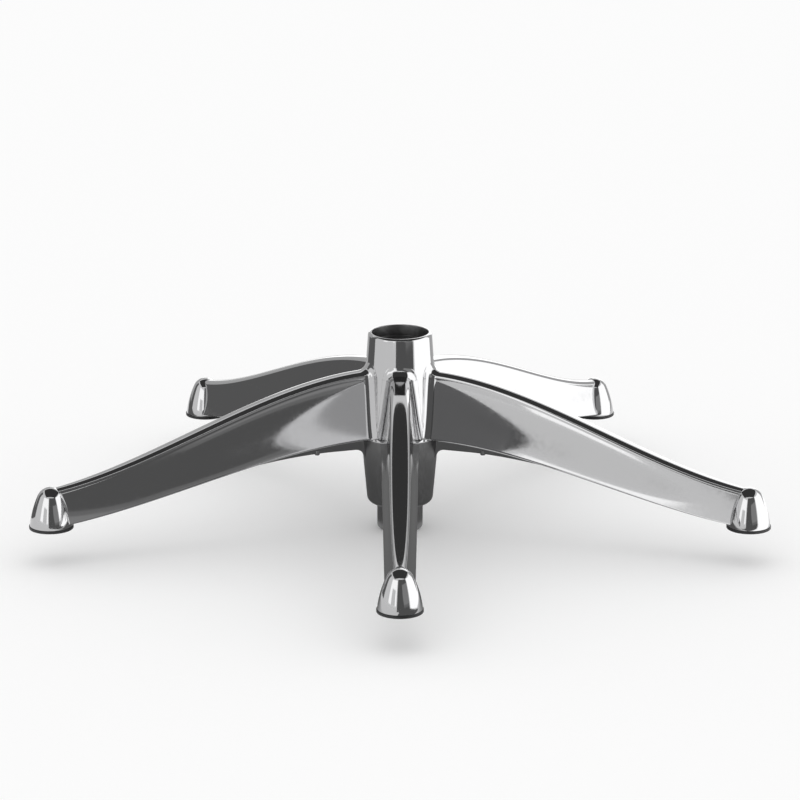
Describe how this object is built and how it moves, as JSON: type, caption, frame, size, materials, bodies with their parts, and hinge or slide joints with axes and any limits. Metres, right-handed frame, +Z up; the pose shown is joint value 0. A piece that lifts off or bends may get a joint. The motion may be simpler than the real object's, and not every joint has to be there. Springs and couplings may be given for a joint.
{
  "type": "office chair base",
  "caption": "Polished star base with a tapered column seat, arched channel arms and flanged castor bushes.",
  "frame": {"origin": "on the column axis, at the flat lower end of the hub's nose", "axes": "+Z up along the column axis; one arm points along -Y, and the others follow every 72 degrees"},
  "size_m": [0.6434, 0.6139, 0.181],
  "materials": {
    "polished_aluminium": "polished",
    "black_plastic": "moulded"
  },
  "bodies": {
    "root": {"base_casting": "polished_aluminium", "castor_bush_1": "black_plastic", "castor_bush_2": "black_plastic", "castor_bush_3": "black_plastic", "castor_bush_4": "black_plastic", "castor_bush_5": "black_plastic"}
  },
  "joints": []
}
